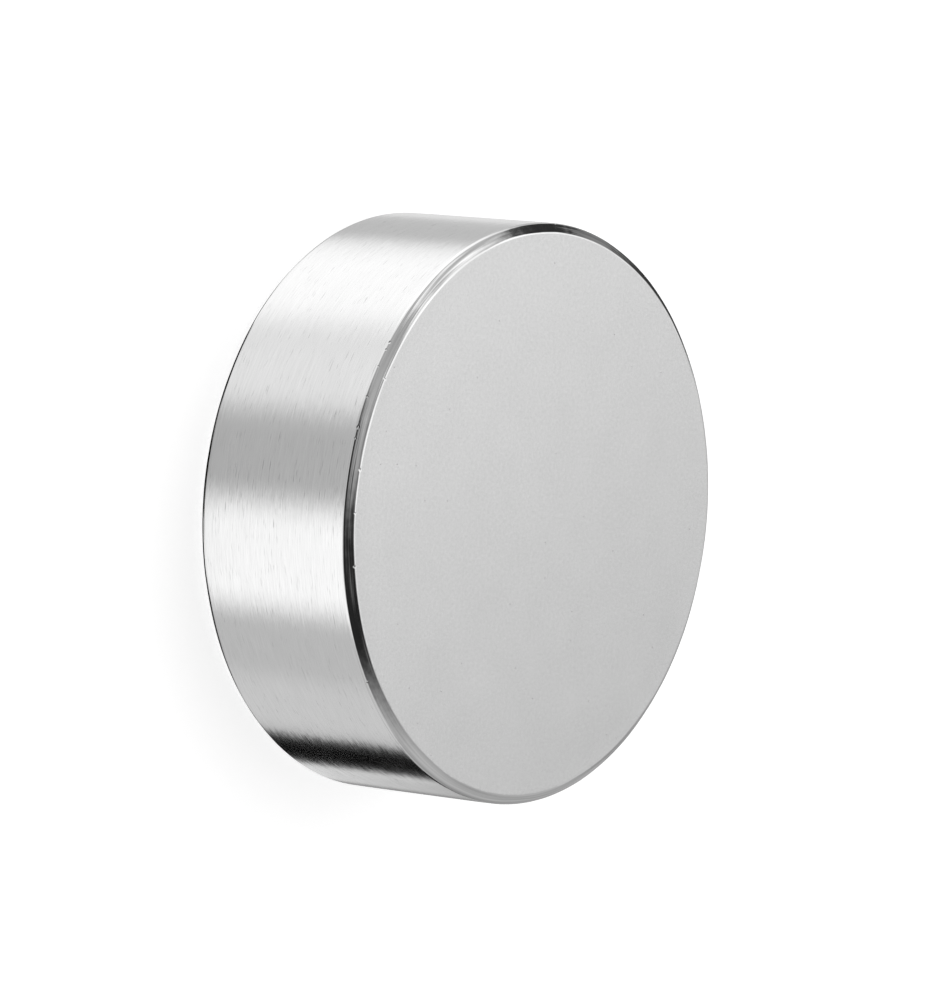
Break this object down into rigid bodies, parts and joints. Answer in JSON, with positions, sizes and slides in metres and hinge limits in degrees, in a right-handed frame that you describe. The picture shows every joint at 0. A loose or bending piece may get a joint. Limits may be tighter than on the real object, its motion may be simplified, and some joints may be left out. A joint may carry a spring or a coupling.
{
  "type": "neodymium cylinder magnet",
  "caption": "Plain round disc magnet with flat pole faces, bevelled rims and a fine-ground cylindrical wall, nickel plated, for holding, clamping or lifting steel.",
  "frame": {"origin": "centre of the lower pole face", "axes": "+Z along the disc's axis, from the lower pole face to the upper; X and Y lie in the lower pole face and are interchangeable"},
  "size_m": [0.045, 0.045, 0.015],
  "materials": {
    "nickel_plate": "bright nickel plate over ground metal: satin pole faces, wall with fine circumferential grinding lines"
  },
  "bodies": {
    "root": {"magnet": "nickel_plate"}
  },
  "joints": []
}
